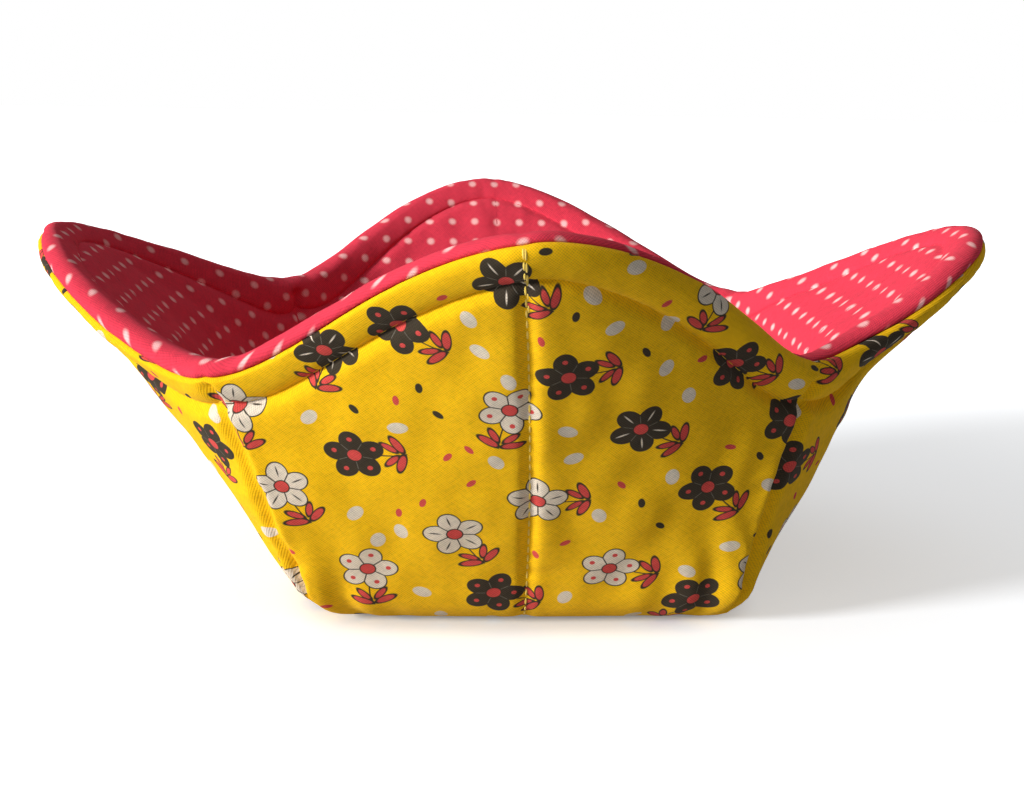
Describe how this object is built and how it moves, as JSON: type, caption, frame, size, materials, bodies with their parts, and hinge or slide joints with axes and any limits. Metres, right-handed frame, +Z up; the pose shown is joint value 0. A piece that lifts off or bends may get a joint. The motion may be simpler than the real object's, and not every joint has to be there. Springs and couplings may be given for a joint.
{
  "type": "microwave bowl cozy",
  "caption": "Padded square cloth bowl holder with a flat base, four leaning walls ending in rounded peaks, dart seams at the corners and a rolled, topstitched rim.",
  "frame": {"origin": "middle of the flat base's underside", "axes": "+Z up, the front wall faces -Y, +X to the right of someone who looks at that wall"},
  "size_m": [0.2144, 0.1992, 0.0891],
  "materials": {
    "printed_cotton": "plain-weave quilting cotton with a scattered print, matt",
    "dotted_cotton": "plain-weave quilting cotton with small pale dots, matt",
    "cotton_batting": "needled cotton wadding, matt"
  },
  "bodies": {
    "root": {"outer_cover": "printed_cotton", "outer_batting": "cotton_batting", "lining_batting": "cotton_batting", "lining": "dotted_cotton"}
  },
  "joints": []
}
